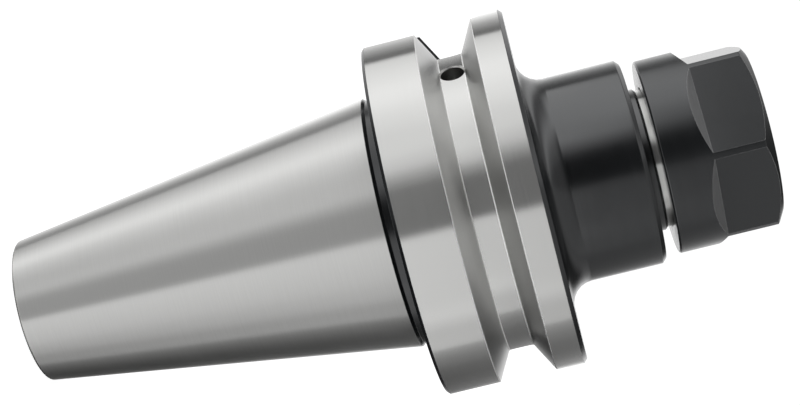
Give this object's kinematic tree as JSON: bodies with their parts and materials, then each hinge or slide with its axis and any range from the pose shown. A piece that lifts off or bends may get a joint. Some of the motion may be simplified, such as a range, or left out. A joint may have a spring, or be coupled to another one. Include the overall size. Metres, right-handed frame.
{
  "type": "collet chuck holder",
  "caption": "Machine tool holder with a steep taper shank, a grooved gripper flange with drive slots, and a round nose with a spring collet under a hexagon clamping nut.",
  "frame": {"origin": "centre of the taper's gauge plane, where the cone is 44.45 mm across", "axes": "+Z along the tool axis towards the nose, X through the middle of the drive slots"},
  "size_m": [0.063, 0.063, 0.1308],
  "materials": {
    "holder_steel": "bright ground steel, with a black oxide nose and undercut",
    "collet_steel": "fine ground spring steel",
    "nut_black": "black oxide on turned and milled steel"
  },
  "bodies": {
    "holder": {"holder_body": "holder_steel"},
    "collet": {"collet": "collet_steel"},
    "nut": {"clamping_nut": "nut_black"}
  },
  "joints": [
    {"name": "collet_slide", "type": "slide", "parent": "holder", "child": "collet", "axis": [0, 0, 1], "range_m": [0, 0.009]},
    {"name": "nut_turn", "type": "hinge", "parent": "collet", "child": "nut", "pos_m": [0, 0, 0.056], "axis": [0, 0, 1], "range_deg": [0, 2160]}
  ],
  "couplings": [
    {"joint": "nut_turn", "follows": "collet_slide", "rad_per_m": 4188.8}
  ]
}
